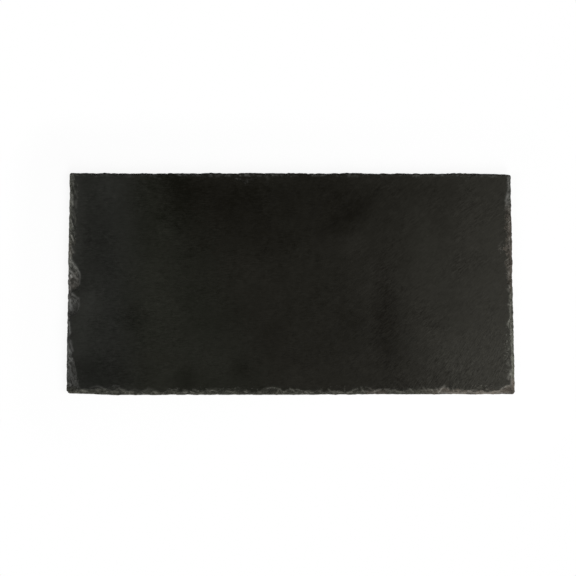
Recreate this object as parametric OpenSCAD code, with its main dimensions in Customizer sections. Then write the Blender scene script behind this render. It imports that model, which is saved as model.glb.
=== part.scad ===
// Slate serving board: a split slab of slate with hand-knapped edges on four stick-on rubber feet.
// +X runs along the length, +Y to the back edge, +Z up. The origin is under the middle of the board,
// on the surface that it stands on.

/* [Slate] */
// Length of the slate, left to right
slate_length = 400; // [250:5:600]
// Width of the slate, front to back
slate_width = 200; // [150:5:350]
// Thickness of the slate
slate_thickness = 5; // [4:0.5:8]

/* [Knapped edges] */
// How far in over the top a usual flake reaches on the front edge
front_bevel = 5.2; // [2:0.1:9]
// The same on the right edge
right_bevel = 4.4; // [2:0.1:9]
// The same on the back edge
back_bevel = 1.8; // [1:0.1:9]
// The same on the left edge
left_bevel = 5.8; // [2:0.1:9]
// How far down the edge a usual flake runs
flake_depth = 3.4; // [1.5:0.1:3.6]
// How deep a thin layer lifts where it comes away past a flake
layer_depth = 0.35; // [0.2:0.05:0.8]

/* [Trimmed corners] */
// Corner cut off at the front left
front_left_trim = 2.4; // [0.5:0.1:6]
// Corner cut off at the front right
front_right_trim = 1.1; // [0.5:0.1:6]
// Corner cut off at the back right
back_right_trim = 0.8; // [0.5:0.1:6]
// Corner cut off at the back left
back_left_trim = 1.3; // [0.5:0.1:6]
// How far in over the top the flake at each corner reaches
corner_bevel = 6.5; // [3:0.1:10]

/* [Feet] */
// Diameter of a foot where it meets its adhesive
foot_diameter = 12; // [8:0.5:20]
// Height of the rubber of a foot
foot_height = 2.8; // [2:0.1:6]
// Draft of the foot's side, in degrees
foot_draft = 14; // [4:1:25]
// Radius of the rounded edge that stands on the table
foot_edge_radius = 0.8; // [0.3:0.1:1.5]
// Middle of a foot in from the two edges beside it
foot_inset = 26; // [20:1:60]

/* [Adhesive] */
// Thickness of the adhesive disc on top of a foot
adhesive_thickness = 0.2; // [0.1:0.05:0.5]
// How far the adhesive stops short of the foot's rim
adhesive_margin = 0.5; // [0.2:0.1:1.5]

/* [Hidden] */

slate_color = "#23221f";
rubber_color = "#191919";
adhesive_color = "#c9c6bd";

slate_bottom = foot_height + adhesive_thickness;
slate_top = slate_bottom + slate_thickness;
foot_x = slate_length / 2 - foot_inset;
foot_y = slate_width / 2 - foot_inset;

// Facets of a flake where it is drawn as a mesh
flake_facets = 26;
// Facets of the feet where they are drawn as a mesh
foot_facets = 40;

// Main flakes of each side in the order they lie, anticlockwise seen from above: the share of the side
// that the flake takes up, and its reach as a share of that side's bevel.
front_shares = [
  [2.7, 1.0], [2.3, 1.2], [4.4, 1.3], [4.0, 1.0], [3.1, 0.85], [2.9, 1.0], [2.6, 0.8], [3.2, 1.0],
  [2.6, 0.8], [2.9, 0.9], [3.5, 1.0], [3.4, 0.95], [3.2, 1.05], [2.2, 0.75], [4.2, 1.25], [4.5, 1.1],
  [3.0, 0.9], [2.3, 0.8], [2.7, 0.95], [2.4, 0.8], [2.9, 1.0], [3.0, 0.95], [2.9, 1.05], [3.8, 0.9],
  [3.6, 1.1], [3.8, 1.05], [2.9, 1.2], [2.3, 1.1], [3.3, 0.8], [3.1, 0.7], [3.1, 0.75], [3.1, 1.1],
];
right_shares = [
  [3.6, 1.1], [9.0, 0.95], [5.9, 0.9], [10.0, 1.0], [5.5, 1.1], [5.5, 0.9], [5.9, 0.9], [3.6, 1.0],
  [6.8, 0.95], [9.0, 1.1], [5.5, 0.95], [7.3, 1.05], [3.2, 0.9], [4.5, 1.15], [4.5, 1.1], [8.6, 0.9],
];
back_shares = [
  [4.0, 0.8], [5.5, 1.5], [3.0, 0.7], [6.0, 0.9], [4.0, 0.6], [2.5, 1.2], [7.0, 0.7], [3.5, 1.0],
  [5.0, 0.6], [2.0, 1.3], [6.0, 0.8], [3.0, 0.6], [4.5, 1.1], [7.0, 0.7], [2.5, 0.9], [5.0, 0.6],
  [3.5, 1.2], [6.0, 0.7], [2.0, 1.0], [4.0, 0.6], [3.0, 1.6], [4.0, 0.7], [2.0, 1.7], [5.0, 0.8],
];
left_shares = [
  [5.0, 0.95], [6.0, 1.1], [5.6, 1.15], [5.6, 0.95], [4.5, 1.0], [5.0, 0.95], [9.9, 0.85], [10.2, 1.85],
  [4.0, 0.8], [7.4, 1.75], [5.0, 0.55], [6.0, 0.5], [3.6, 0.5], [5.4, 1.05], [2.4, 0.6], [12.4, 1.8],
  [2.4, 1.0],
];

// Thin layers that came away past the flakes: the middle of each as a share of its side, half its
// length as a share of the side, and its reach as a share of the side's bevel.
front_layer_shares = [[0.1, 0.026, 1.6], [0.365, 0.046, 1.15], [0.66, 0.034, 1.2], [0.925, 0.05, 1.15]];
right_layer_shares = [[0.21, 0.06, 1.3], [0.48, 0.05, 1.2], [0.675, 0.04, 1.9]];
left_layer_shares = [[0.09, 0.05, 1.25], [0.2, 0.05, 1.2], [0.86, 0.07, 1.5]];

// A flake overlaps its neighbours by this share of its length.
overlap_share = 1.15;
// Between two flakes a small one takes these shares of their length and of the lesser reach.
small_length_share = 0.45;
small_reach_share = 0.6;
// A flake is no deeper and reaches no further than this share of half its length.
slender_share = 0.95;
// The depth of the flakes varies by this share of it, up and down.
depth_vary_share = 0.15;
// A corner's flake is this many times as long as it reaches.
corner_length_share = 1.5;
// Neighbouring flakes are struck in separate passes, this many in all.
passes = 4;

// Turns on an irrational share of a circle, so that no run of depths comes back.
golden_share = (sqrt(5) - 1) / 2;

function part_of_one(v) = v - floor(v);
function wander(i) = 1 + depth_vary_share * (2 * part_of_one(i * golden_share) - 1);
function total(rows, i = 0) = i < len(rows) ? rows[i][0] + total(rows, i + 1) : 0;
function before(rows, i) = i > 0 ? rows[i - 1][0] + before(rows, i - 1) : 0;

// One flake as [place along the side, half length, reach, depth].
function flake(place, half_length, reach, depth) = [
  place,
  half_length,
  min(reach, slender_share * half_length),
  min(depth, slender_share * half_length),
];

// The main flakes of a side, end to end, then the small ones on the ridges between them.
function side_flakes(side, bevel, rows) =
  let (unit = side / total(rows))
  concat(
    [for (i = [0:len(rows) - 1])
      flake(
        (before(rows, i) + rows[i][0] / 2) * unit,
        rows[i][0] * unit / 2 * overlap_share,
        rows[i][1] * bevel,
        flake_depth * wander(i)
      )],
    [for (i = [1:len(rows) - 1])
      flake(
        before(rows, i) * unit,
        (rows[i - 1][0] + rows[i][0]) * unit / 2 * small_length_share,
        min(rows[i - 1][1], rows[i][1]) * bevel * small_reach_share,
        flake_depth * wander(i + len(rows))
      )]
  );

front_flakes = side_flakes(slate_length, front_bevel, front_shares);
right_flakes = side_flakes(slate_width, right_bevel, right_shares);
back_flakes = side_flakes(slate_length, back_bevel, back_shares);
left_flakes = side_flakes(slate_width, left_bevel, left_shares);

// A knapped flake leaves a shallow bowl. It is cut by the ball through the two ends of the flake on
// the top edge, the point that it reaches on the top, and the point that it runs down to on the side.
module bowl(f) {
  half_length = f[1];
  reach = f[2];
  depth = f[3];
  out = (pow(half_length, 2) - pow(reach, 2)) / (2 * reach);
  up = (pow(half_length, 2) - pow(depth, 2)) / (2 * depth);
  translate([f[0], -out, up])
    sphere(r = norm([half_length, out, up]), $fn = flake_facets);
}

// A thin layer lifts along the split of the stone, so its floor is flat and its outline an arc.
module lifted_layer(side, bevel, row) {
  half_length = row[1] * side;
  reach = row[2] * bevel;
  r = (pow(half_length, 2) + pow(reach, 2)) / (2 * reach);
  translate([row[0] * side, reach - r, -layer_depth])
    cylinder(r = r, h = 2 * layer_depth, $fn = flake_facets);
}

// Stands a side's work at its start, with X along the side, Y into the slate and Z up from its top.
module on_front() translate([-slate_length / 2, -slate_width / 2, slate_top]) children();
module on_right() translate([slate_length / 2, -slate_width / 2, slate_top]) rotate(90) children();
module on_back() translate([slate_length / 2, slate_width / 2, slate_top]) rotate(180) children();
module on_left() translate([-slate_length / 2, slate_width / 2, slate_top]) rotate(270) children();

// Every flake of a side that one pass strikes
module struck(flakes, pass) {
  for (i = [pass:passes:len(flakes) - 1])
    bowl(flakes[i]);
}

// The bowl that the trimming of a corner leaves, across the corner
module corner_bowl() {
  bowl(flake(0, corner_bevel * corner_length_share, corner_bevel, flake_depth));
}

// The sawn blank with its trimmed corners
module blank() {
  x = slate_length / 2;
  y = slate_width / 2;
  translate([0, 0, slate_bottom])
    linear_extrude(slate_thickness)
      polygon([
        [-x + front_left_trim, -y], [x - front_right_trim, -y],
        [x, -y + front_right_trim], [x, y - back_right_trim],
        [x - back_right_trim, y], [-x + back_left_trim, y],
        [-x, y - back_left_trim], [-x, -y + front_left_trim],
      ]);
}

module layered() {
  difference() {
    blank();
    on_front() for (row = front_layer_shares) lifted_layer(slate_length, front_bevel, row);
    on_right() for (row = right_layer_shares) lifted_layer(slate_width, right_bevel, row);
    on_left() for (row = left_layer_shares) lifted_layer(slate_width, left_bevel, row);
    on_front() rotate(-45) corner_bowl();
    on_right() rotate(-45) corner_bowl();
  }
}

// The slate after a pass, each pass cutting into what the one before it left
module knapped(pass) {
  if (pass < 0)
    layered();
  else
    difference() {
      knapped(pass - 1);
      on_front() struck(front_flakes, pass);
      on_right() struck(right_flakes, pass);
      on_back() struck(back_flakes, pass);
      on_left() struck(left_flakes, pass);
    }
}

module slate_slab() {
  color(slate_color) knapped(passes - 1);
}

// A moulded foot: the drafted side runs tangent into the rounded edge that stands on the table.
module foot(x, y) {
  rim = foot_diameter / 2;
  rise = foot_height - foot_edge_radius;
  edge_x = rim - (foot_edge_radius + rise * sin(foot_draft)) / cos(foot_draft);
  tangent = foot_edge_radius * [cos(foot_draft), -sin(foot_draft)];
  color(rubber_color)
    translate([x, y, 0])
      rotate_extrude($fn = foot_facets)
        union() {
          polygon([
            [0, 0], [edge_x, 0], [edge_x, foot_edge_radius],
            [edge_x, foot_edge_radius] + tangent, [rim, foot_height], [0, foot_height],
          ]);
          translate([edge_x, foot_edge_radius])
            circle(foot_edge_radius, $fn = foot_facets);
        }
}

// The adhesive disc between a foot and the underside of the slate
module adhesive(x, y) {
  color(adhesive_color)
    translate([x, y, foot_height])
      cylinder(d = foot_diameter - 2 * adhesive_margin, h = adhesive_thickness, $fn = foot_facets);
}

module foot_front_left() foot(-foot_x, -foot_y);
module foot_front_right() foot(foot_x, -foot_y);
module foot_back_left() foot(-foot_x, foot_y);
module foot_back_right() foot(foot_x, foot_y);
module adhesive_front_left() adhesive(-foot_x, -foot_y);
module adhesive_front_right() adhesive(foot_x, -foot_y);
module adhesive_back_left() adhesive(-foot_x, foot_y);
module adhesive_back_right() adhesive(foot_x, foot_y);

slate_slab();
foot_front_left();
foot_front_right();
foot_back_left();
foot_back_right();
adhesive_front_left();
adhesive_front_right();
adhesive_back_left();
adhesive_back_right();
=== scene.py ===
import math
from types import SimpleNamespace

import bpy
import numpy as np
from mathutils import Matrix, Vector


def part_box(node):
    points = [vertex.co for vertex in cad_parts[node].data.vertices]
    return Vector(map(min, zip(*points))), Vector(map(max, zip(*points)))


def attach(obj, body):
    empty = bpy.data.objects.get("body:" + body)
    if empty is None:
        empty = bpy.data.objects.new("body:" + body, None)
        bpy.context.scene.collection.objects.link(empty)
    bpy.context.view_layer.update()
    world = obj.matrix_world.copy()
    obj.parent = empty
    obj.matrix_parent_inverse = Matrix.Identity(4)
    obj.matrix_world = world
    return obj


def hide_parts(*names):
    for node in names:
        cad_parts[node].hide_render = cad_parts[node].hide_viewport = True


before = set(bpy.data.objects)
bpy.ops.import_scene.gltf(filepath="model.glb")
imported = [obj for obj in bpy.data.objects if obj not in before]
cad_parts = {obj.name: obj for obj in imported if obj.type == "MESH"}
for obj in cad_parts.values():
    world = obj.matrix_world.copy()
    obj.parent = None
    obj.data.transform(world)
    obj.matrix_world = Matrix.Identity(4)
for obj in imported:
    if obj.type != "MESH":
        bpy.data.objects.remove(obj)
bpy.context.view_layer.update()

# Slate slab
# One slab split from slate rock, sawn to size and then knapped along its edges with a hammer, which strikes
# shallow bowls off the top edge and lifts thin layers past them. The face is rubbed with oil.

slab_low, slab_high = (np.array(corner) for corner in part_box("slate_slab"))
half_length, half_width = slab_high[:2]
length, width = 2 * half_length, 2 * half_width
slab_bottom, slab_top = slab_low[2], slab_high[2]

# How far in from each side the flakes reach, how deep they and the lifted layers go, and how the corners are
# broken
front_bevel = 0.0052
right_bevel = 0.0056
back_bevel = 0.0018
left_bevel = 0.0058
flake_depth = 0.0034
layer_depth = 0.00035
corner_bevel = 0.0065
corner_length_share = 1.5
corner_trims = {(-1, -1): 0.0024, (1, -1): 0.0011, (1, 1): 0.0008, (-1, 1): 0.0013}

# Main flakes of each side, anticlockwise seen from above: the share of the side that the flake takes up,
# and its reach as a share of that side's bevel.
front_shares = [
    (2.7, 1.0), (2.3, 1.2), (4.4, 1.3), (4.0, 1.0), (3.1, 0.85), (2.9, 1.0), (2.6, 0.8), (3.2, 1.0),
    (2.6, 0.8), (2.9, 0.9), (3.5, 1.0), (3.4, 0.95), (3.2, 1.05), (2.2, 0.75), (4.2, 1.25), (4.5, 1.1),
    (3.0, 0.9), (2.3, 0.8), (2.7, 0.95), (2.4, 0.8), (2.9, 1.0), (3.0, 0.95), (2.9, 1.05), (3.8, 0.9),
    (3.6, 1.1), (3.8, 1.05), (2.9, 1.2), (2.3, 1.1), (3.3, 0.8), (3.1, 0.7), (3.1, 0.75), (3.1, 1.1),
]
right_shares = [
    (3.6, 1.1), (9.0, 0.95), (5.9, 0.9), (10.0, 1.0), (5.5, 1.1), (5.5, 0.9), (5.9, 0.9), (3.6, 1.0),
    (6.8, 0.95), (9.0, 1.1), (5.5, 0.95), (7.3, 1.05), (3.2, 0.9), (4.5, 1.15), (4.5, 1.1), (8.6, 0.9),
]
back_shares = [
    (4.0, 0.8), (5.5, 1.5), (3.0, 0.7), (6.0, 0.9), (4.0, 0.6), (2.5, 1.2), (7.0, 0.7), (3.5, 1.0),
    (5.0, 0.6), (2.0, 1.3), (6.0, 0.8), (3.0, 0.6), (4.5, 1.1), (7.0, 0.7), (2.5, 0.9), (5.0, 0.6),
    (3.5, 1.2), (6.0, 0.7), (2.0, 1.0), (4.0, 0.6), (3.0, 1.6), (4.0, 0.7), (2.0, 1.7), (5.0, 0.8),
]
left_shares = [
    (5.0, 0.95), (6.0, 1.1), (5.6, 1.15), (5.6, 0.95), (4.5, 1.0), (5.0, 0.95), (9.9, 0.85), (10.2, 2.0),
    (4.0, 0.8), (7.4, 1.8), (5.0, 0.55), (6.0, 0.5), (3.6, 0.5), (5.4, 1.05), (2.4, 0.6), (12.4, 1.35),
    (2.4, 1.0),
]

# Thin layers that came away past the flakes: middle and half length as shares of the side, and reach as a
# share of the side's bevel.
front_layer_shares = [(0.1, 0.026, 1.6), (0.365, 0.046, 1.15), (0.66, 0.034, 1.2), (0.925, 0.05, 1.15)]
right_layer_shares = [
    (0.21, 0.06, 1.2), (0.55, 0.09, 1.12), (0.62, 0.09, 1.1), (0.69, 0.10, 1.4), (0.76, 0.09, 1.1),
    (0.81, 0.06, 1.1),
]
back_layer_shares = [(0.1, 0.02, 3.6), (0.6, 0.05, 4.0)]
left_layer_shares = [(0.09, 0.09, 1.4), (0.2, 0.08, 1.45), (0.3, 0.07, 1.3), (0.86, 0.07, 1.5)]

# How far a flake overlaps its neighbours, the small one on each ridge as shares of the two beside it, the
# most that a flake reaches or runs down for its half length, and how much the depths vary
overlap_share = 1.6
small_length_share = 0.6
small_reach_share = 0.85
slender_share = 0.95
depth_vary_share = 0.15
golden_share = (math.sqrt(5) - 1) / 2


def side_flakes(side, bevel, rows):
    """The flakes of one side as (place, half length, reach, depth): the main ones lie end to end and overlap,
    and a small one sits on each ridge between two of them. The depths wander by the golden share."""
    shares = np.array(rows)
    ends = np.concatenate([[0], np.cumsum(shares[:, 0])]) * side / shares[:, 0].sum()
    lengths = np.diff(ends)
    reaches = shares[:, 1] * bevel
    count = len(rows)
    place = np.concatenate([(ends[:-1] + ends[1:]) / 2, ends[1:-1]])
    both_lengths = (lengths[:-1] + lengths[1:]) / 2
    half = np.concatenate([lengths / 2 * overlap_share, both_lengths * small_length_share])
    reach = np.concatenate([reaches, np.minimum(reaches[:-1], reaches[1:]) * small_reach_share])
    turn = np.concatenate([np.arange(count), np.arange(1, count) + count]) * golden_share
    depth = flake_depth * (1 + depth_vary_share * (2 * (turn % 1) - 1))
    most = slender_share * half
    return np.stack([place, half, np.minimum(reach, most), np.minimum(depth, most)], 1)


# Retouch flakes: one in each step along the side, and the ranges of its place in the step, of its half
# length, and of its reach and depth as shares of the half length
retouch_step = 0.0033
retouch_place = (0.1, 0.9)
retouch_half = (0.0010, 0.0030)
retouch_reach = (0.5, 0.9)
retouch_depth = (0.4, 0.9)


def retouch_flakes(side, seed):
    """The many small flakes that the last light blows leave along the arris of a side, in the same form as
    side_flakes. Each size is drawn evenly from its range."""
    random = np.random.default_rng(seed)
    count = round(side / retouch_step)
    place = (np.arange(count) + random.uniform(*retouch_place, count)) * side / count
    half = random.uniform(*retouch_half, count)
    reach = half * random.uniform(*retouch_reach, count)
    depth = half * random.uniform(*retouch_depth, count)
    return np.stack([place, half, reach, depth], 1)


def one_flake(place, half, reach):
    """A single flake in the same form, as deep as the main ones."""
    return np.array([[place, half, reach, flake_depth]])


def all_flakes(side, bevel, rows, seed, *single):
    """The main flakes of a side, its retouch flakes and any single ones."""
    return np.concatenate([side_flakes(side, bevel, rows), retouch_flakes(side, seed), *single])


# Place along the side, half length and reach of the long flake on the left and of the end flake at the front
long_flake = one_flake(0.940 * width, 0.165 * width, 0.0116)
end_flake = one_flake(0.980 * length, 0.0094, 0.0083)
corner_flake = one_flake(0, corner_bevel * corner_length_share, corner_bevel)
no_layers = (length, front_bevel, [])
leaning = 0.3
slant = math.sqrt(0.5)
sides = [
    # Start of the side, its direction, its flakes, its lifted layers, and how far its flakes lean along it
    ((-half_length, -half_width), (1, 0), all_flakes(length, front_bevel, front_shares, 81, end_flake),
     (length, front_bevel, front_layer_shares), leaning),
    ((half_length, -half_width), (0, 1), all_flakes(width, right_bevel, right_shares, 82),
     (width, right_bevel, right_layer_shares), -leaning),
    ((half_length, half_width), (-1, 0), all_flakes(length, back_bevel, back_shares, 83),
     (length, back_bevel, back_layer_shares), 0),
    ((-half_length, half_width), (0, -1), all_flakes(width, left_bevel, left_shares, 84, long_flake),
     (width, left_bevel, left_layer_shares), leaning),
    ((-half_length, -half_width), (slant, -slant), corner_flake, no_layers, 0),
    ((half_length, -half_width), (slant, slant), corner_flake, no_layers, 0),
]

noise_cells = 64
noise_shift = 1000


def lattice_noise(x, y, cell, seed):
    """Smooth noise from -1 to 1: random values stand on a square lattice of the given cell, and a point takes
    the blend of its four neighbours by the smoothstep of its place between them. Each use has a seed."""
    values = np.random.default_rng(seed).uniform(-1, 1, (noise_cells, noise_cells))
    u, v = x / cell + noise_shift, y / cell + noise_shift
    i, j = np.floor(u).astype(int), np.floor(v).astype(int)
    u, v = u - i, v - j
    u, v = u * u * (3 - 2 * u), v * v * (3 - 2 * v)
    i, j = i % noise_cells, j % noise_cells
    next_i, next_j = (i + 1) % noise_cells, (j + 1) % noise_cells
    near = values[i, j] * (1 - u) + values[next_i, j] * u
    far = values[i, next_j] * (1 - u) + values[next_i, next_j] * u
    return near * (1 - v) + far * v


def add_noise(base, x, y, *noises):
    """The base plus noises of the plan, each given as its height, its cell and its seed."""
    for height, cell, seed in noises:
        base = base + height * lattice_noise(x, y, cell, seed)
    return base


def bell(distance, width):
    """The bell curve: 1 in the middle, falling with the square of the distance over the width."""
    return np.exp(-((distance / width) ** 2))


# Fine relief of a bowl: rings round the blow, their height as a share of the depth, and the fan of ridges
# that spreads from it. A flake is looked for a little past its ends and its reach.
ring_share = 0.05
ring_pitch = 0.0003
ring_wander = 0.0021
fan_radius_share = 0.7
fan_ridge = 0.0012
fan_length = 0.012
fan_turn = 3.7
near_share = 1.1
near_gap = 0.001


def bowl_cut(along, inward, flakes):
    """Depth that the flakes of a side take off the top, the next lesser depth, and the fan of fine ridges. A
    flake is cut by the ball through its two ends on the top edge, the point it reaches on the top and the
    point it runs down to on the side; the depth is how far the ball dips below the top. Rings round the blow
    ripple it, and the fan is noise of the angle round the blow."""
    deepest, second, fan = np.zeros_like(along), np.zeros_like(along), np.zeros_like(along)
    for number, (place, half, reach, deep) in enumerate(flakes):
        near = (np.abs(along - place) < half * near_share) & (inward < reach * near_share + near_gap)
        a, b = along[near] - place, inward[near]
        out = (half**2 - reach**2) / (2 * reach)
        up = (half**2 - deep**2) / (2 * deep)
        inside = half**2 + out**2 + up**2 - a**2 - (b + out) ** 2
        depth = np.maximum(np.sqrt(np.maximum(inside, 0)) - up, 0)
        from_blow = np.hypot(a, b)
        wander = 2 * np.sin(number + from_blow / ring_wander)
        depth = depth * (1 + ring_share * np.cos(from_blow / ring_pitch + wander))
        lobes = max(reach * fan_radius_share / fan_ridge, 1.0)
        ridges = lattice_noise(np.arctan2(b, a) * lobes + number * fan_turn, from_blow / fan_length, 1.0, 19)
        over = depth > deepest[near]
        second[near] = np.maximum(second[near], np.minimum(deepest[near], depth))
        fan[near] = np.where(over, ridges, fan[near])
        deepest[near] = np.maximum(deepest[near], depth)
    return deepest, second, fan


def layer_cut(along, inward, side, bevel, rows):
    """Depth of the thin layers lifted from a side: a flat floor inside the arc through the layer's two ends
    and the point that it reaches."""
    depth = np.zeros_like(along)
    for middle, half_share, reach_share in rows:
        half, reach = half_share * side, reach_share * bevel
        radius = (half**2 + reach**2) / (2 * reach)
        inside = radius**2 - (along - middle * side) ** 2 - (inward - reach + radius) ** 2
        depth = np.where(inside > 0, layer_depth, depth)
    return depth


ridge_width = 0.00016


def broken_depth(x, y):
    """Depth below the face of the bowls and of the lifted layers at points of the plan, with the ridges where
    two bowls are equally deep, and the fans. The plan is warped by two sizes of noise first, so that the rims
    run ragged and not in plain arcs, and the layers are warped more."""
    wx = add_noise(x, x, y, (0.0009, 0.0060, 11), (0.0005, 0.0020, 12))
    wy = add_noise(y, x, y, (0.0009, 0.0060, 13), (0.0005, 0.0020, 14))
    bowls, seconds, layers, fans = (np.zeros_like(x) for _ in range(4))
    for (x0, y0), (dx, dy), flakes, lifted, lean in sides:
        inward = (wy - y0) * dx - (wx - x0) * dy
        along = (wx - x0) * dx + (wy - y0) * dy - lean * inward
        deepest, second, fan = bowl_cut(along, inward, flakes)
        fans = np.where(deepest > bowls, fan, fans)
        seconds = np.maximum(seconds, np.maximum(second, np.minimum(bowls, deepest)))
        bowls = np.maximum(bowls, deepest)
        torn = add_noise(inward, x, y, (0.0022, 0.0050, 15), (0.0010, 0.0019, 16))
        drawn = add_noise(along, x, y, (0.0022, 0.0050, 17), (0.0010, 0.0019, 18))
        layers = np.maximum(layers, layer_cut(drawn, torn, *lifted))
    return bowls, layers, (seconds > 0) * bell(bowls - seconds, ridge_width), fans


# The mesh: a grid of the face, a band of rings from a margin inside the sides out to the edge, the wall, and
# a coarser grid of the underside. The grids end a little inside the band.
margin = 0.014
grid_inset = 0.016
face_cell = 0.002
fine_per_cell = 4
under_cells = 2
cells_long = round(2 * (half_length - grid_inset) / face_cell)
cells_wide = round(2 * (half_width - grid_inset) / face_cell)


def rectangle_loop(half_x, half_y, long_steps, short_steps):
    """The points round a rectangle, anticlockwise from its front left corner, in equal steps on each side."""
    s, t = np.arange(long_steps) / long_steps * 2 - 1, np.arange(short_steps) / short_steps * 2 - 1
    x = np.concatenate([s, np.ones_like(t), -s, -np.ones_like(t)]) * half_x
    y = np.concatenate([-np.ones_like(s), t, np.ones_like(s), -t]) * half_y
    return np.stack([x, y], 1)


steps = (cells_long * fine_per_cell, cells_wide * fine_per_cell)
inner = rectangle_loop(half_length - margin, half_width - margin, *steps)
outer = rectangle_loop(half_length, half_width, *steps)
around = len(inner)

# The outline: each ray from the inner rectangle stops at the trimmed corner or a little inside the sawn side,
# where small chips nibble it.
trim = np.zeros(around)
for corner, size in corner_trims.items():
    trim[(np.sign(outer) == corner).all(1)] = size
sum_inner = (np.array([half_length, half_width]) - np.abs(inner)).sum(1)
sum_outer = (np.array([half_length, half_width]) - np.abs(outer)).sum(1)
reach_out = np.where(sum_outer < trim, (sum_inner - trim) / (sum_inner - sum_outer), 1)
chip_noises = [(0.00016, 0.034, 20), (0.00026, 0.0065, 21), (0.00024, 0.0022, 22)]
nibble = np.zeros(around)
for chip, chip_cell, seed in chip_noises:
    nibble += chip * (1 + lattice_noise(outer[:, 0], outer[:, 1], chip_cell, seed))
nibble -= nibble.min()
reach_out -= nibble / margin
edge = inner + (outer - inner) * reach_out[:, None]


def drawn_in(from_end, from_side, run, strip, amount):
    """How far the edge is drawn in at a corner: the whole amount there, evenly less over a run of the side
    and over a strip inside it."""
    return amount * np.clip(1 - from_end / run, 0, 1) * np.clip(1 - from_side / strip, 0, 1)


edge[:, 1] += drawn_in(
    half_length + edge[:, 0], half_width + edge[:, 1], run=0.036, strip=0.012, amount=0.0021)
edge[:, 1] -= drawn_in(
    half_length - edge[:, 0], half_width - edge[:, 1], run=0.029, strip=0.012, amount=0.0020)

# The rim: the innermost place on each ray where something has come off the face. Where nothing has, it lies
# close to the edge, so that the rows past it stay apart.
scan_steps = 120
outermost_rim = 0.985
scan = np.linspace(0, 1, scan_steps)
scan_points = inner[None] + (edge - inner)[None] * scan[:, None, None]
bowls, layers, ridges, fans = broken_depth(scan_points[..., 0], scan_points[..., 1])
cut = np.maximum(bowls, layers) > 0
rim = np.minimum(scan[np.where(cut.any(0), cut.argmax(0), scan_steps - 1)], outermost_rim)

# The band: rows that crowd towards the rim, then rows across the broken edge
margin_steps = 8
margin_crowding = 1.7
bevel_steps = 18
to_rim = 1 - (1 - np.linspace(0, 1, margin_steps + 1)) ** margin_crowding
past_rim = np.linspace(0, 1, bevel_steps + 1)[1:]
place = np.concatenate([to_rim[:, None] * rim, rim + past_rim[:, None] * (1 - rim)])
band = inner[None] + (edge - inner)[None] * place[..., None]
band_x, band_y = band[..., 0], band[..., 1]
bowls, layers, ridges, fans = broken_depth(band_x, band_y)

terrace_levels = np.array([0, 0.0004, 0.0010, 0.0016, 0.0024, 0.0031, 0.0040, 0.0050])
terrace_strength = 0.9
riser_slope = 2.2


def strata(depth, x, y):
    """Turns a smooth bowl into the steps of split stone: the depth is drawn towards irregular layer levels,
    by the cube of its place between two of them, more in some flakes than in others. Also gives the risers,
    which are the deeper halves of the steps."""
    shifted = add_noise(depth, x, y, (0.00035 * (depth > 0), 0.009, 31))
    shifted = np.clip(shifted, 0, terrace_levels[-1])
    level = np.clip(np.searchsorted(terrace_levels, shifted, "right") - 1, 0, len(terrace_levels) - 2)
    above, step = terrace_levels[level], terrace_levels[level + 1] - terrace_levels[level]
    share = (shifted - above) / step
    strength = terrace_strength * np.clip(add_noise(0.6, x, y, (1, 0.014, 32)), 0, 1)
    riser = np.clip((share - 0.5) * riser_slope, 0, 1) * strength
    stepped = depth + (above + step * share**3 - depth) * strength
    return np.where(depth > 0, stepped, 0), np.where(depth > 0, riser, 0)


# Fine chips roughen the bowls from the depth at which a flake counts as whole, and the face waves a little as
# split stone does. No flake goes through the slab.
whole_depth = 0.0004
least_left = 0.0008
rough = add_noise(0, band_x, band_y, (0.00012, 0.0016, 41), (0.00007, 0.0008, 42))
deep, riser = strata(bowls, band_x, band_y)
deep = deep + rough * np.clip(deep / whole_depth, 0, 1)
drop = np.clip(np.maximum(deep, layers), 0, slab_top - slab_bottom - least_left)


def face_wave(x, y):
    """How far the face lies below its highest level: broad waves and a few shorter ones."""
    return add_noise(0.0001, x, y, (0.00005, 0.05, 51), (0.00003, 0.019, 52), (0.000015, 0.007, 53))


band_z = slab_top - face_wave(band_x, band_y) - drop

# Wall below the bevel, down to a ragged lower arris, then the underside's margin. The wall's noise runs askew
# down it.
wall_share = np.array([0.3, 0.6, 0.85])
wall_rough = 0.00018
wall_skew = (5, -7)
low_edge_in = 0.0001
underside_in = (0.002, 0.007)
arris_in = add_noise(0.0005, edge[:, 0], edge[:, 1], (0.00035, 0.004, 61))
arris_up = add_noise(0.0004, edge[:, 0], edge[:, 1], (0.0003, 0.003, 62))
ray = (inner - edge) / np.linalg.norm(inner - edge, axis=1)[:, None]
wall_z = band_z[-1] + (slab_bottom + arris_up - band_z[-1]) * wall_share[:, None]
wall_x, wall_y = (edge[:, axis] + wall_z * wall_skew[axis] for axis in (0, 1))
wall_in = wall_rough * (1 + lattice_noise(wall_x, wall_y, 0.0016, 63))
wall = edge[None] + ray[None] * wall_in[..., None]
low_edge = (edge + ray * low_edge_in)[None]
under_in = np.stack([arris_in, arris_in + underside_in[0], np.full(around, underside_in[1])])
under = edge[None] + ray[None] * under_in[..., None]
plan = np.concatenate([band, wall, low_edge, under, inner[None]])
height = np.concatenate([
    band_z, wall_z, (slab_bottom + arris_up)[None], np.full((len(under) + 1, around), slab_bottom),
])
rings = np.concatenate([plan, height[..., None]], 2)
ring_count = len(rings)

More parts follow.
